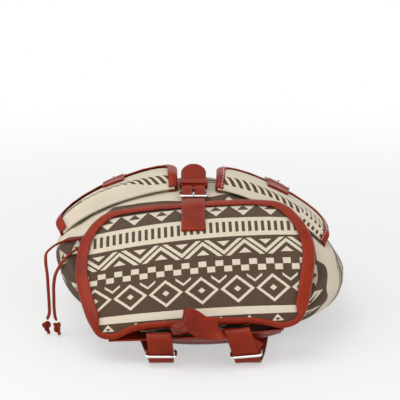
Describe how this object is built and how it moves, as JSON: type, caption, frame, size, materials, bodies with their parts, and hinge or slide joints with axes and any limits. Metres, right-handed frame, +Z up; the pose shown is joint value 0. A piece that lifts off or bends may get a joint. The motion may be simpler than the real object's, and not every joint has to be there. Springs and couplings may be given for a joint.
{
  "type": "backpack",
  "caption": "Soft canvas backpack with leather trim lying on its back: a buckled lid over a laced, gathered mouth, buckled front pockets, a grab handle and folded shoulder straps.",
  "frame": {"origin": "middle of the footprint on the surface that the bag lies on, laces left out", "axes": "+Z up, away from the back panel; +Y from the lid towards the base of the bag; +X to the right of someone facing the lid"},
  "size_m": [0.3412, 0.4048, 0.1682],
  "materials": {
    "printed_canvas": "woven cotton canvas, cream geometric print on brown",
    "trim_leather": "smooth glazed russet leather",
    "steel_hardware": "bright nickel-plated wire"
  },
  "bodies": {
    "bag": {"front_panel": "printed_canvas", "left_side_panel": "printed_canvas", "right_side_panel": "printed_canvas", "back_panel": "printed_canvas", "base_panel": "printed_canvas", "gathered_mouth": "printed_canvas", "drawstring": "trim_leather", "lid_panel": "printed_canvas", "lid_binding": "trim_leather", "lid_buckle_tab": "trim_leather", "lid_buckle_frame": "steel_hardware", "lid_strap": "trim_leather", "lid_keeper": "trim_leather", "left_pocket": "printed_canvas", "left_flap": "printed_canvas", "left_flap_binding": "trim_leather", "left_pocket_buckle_tab": "trim_leather", "left_pocket_buckle_frame": "steel_hardware", "left_pocket_strap": "trim_leather", "left_pocket_keeper": "trim_leather", "right_pocket": "printed_canvas", "right_flap": "printed_canvas", "right_flap_binding": "trim_leather", "right_pocket_buckle_tab": "trim_leather", "right_pocket_buckle_frame": "steel_hardware", "right_pocket_strap": "trim_leather", "right_pocket_keeper": "trim_leather", "back_yoke": "trim_leather", "left_corner_tab": "trim_leather", "right_corner_tab": "trim_leather", "left_shoulder_strap": "trim_leather", "right_shoulder_strap": "trim_leather", "left_strap_slide": "steel_hardware", "right_strap_slide": "steel_hardware", "left_strap_tail": "trim_leather", "right_strap_tail": "trim_leather", "grab_handle": "trim_leather", "upper_lace": "trim_leather", "lower_lace": "trim_leather", "upper_lace_knot": "trim_leather", "lower_lace_knot": "trim_leather"},
    "lid_prong": {"lid_prong": "steel_hardware"},
    "left_pocket_prong": {"left_pocket_prong": "steel_hardware"},
    "right_pocket_prong": {"right_pocket_prong": "steel_hardware"}
  },
  "joints": [
    {"name": "lid_prong_hinge", "type": "hinge", "parent": "bag", "child": "lid_prong", "pos_m": [-0.00021, -0.00938, 0.14687], "axis": [-1, 0, 0], "range_deg": [0, 8]},
    {"name": "left_pocket_prong_hinge", "type": "hinge", "parent": "bag", "child": "left_pocket_prong", "pos_m": [-0.09318, 0.08282, 0.13577], "axis": [-0.9211, -0.1199, -0.3704], "range_deg": [0, 8]},
    {"name": "right_pocket_prong_hinge", "type": "hinge", "parent": "bag", "child": "right_pocket_prong", "pos_m": [0.09838, 0.08047, 0.13269], "axis": [-0.9028, 0.1213, 0.4125], "range_deg": [0, 8]}
  ]
}
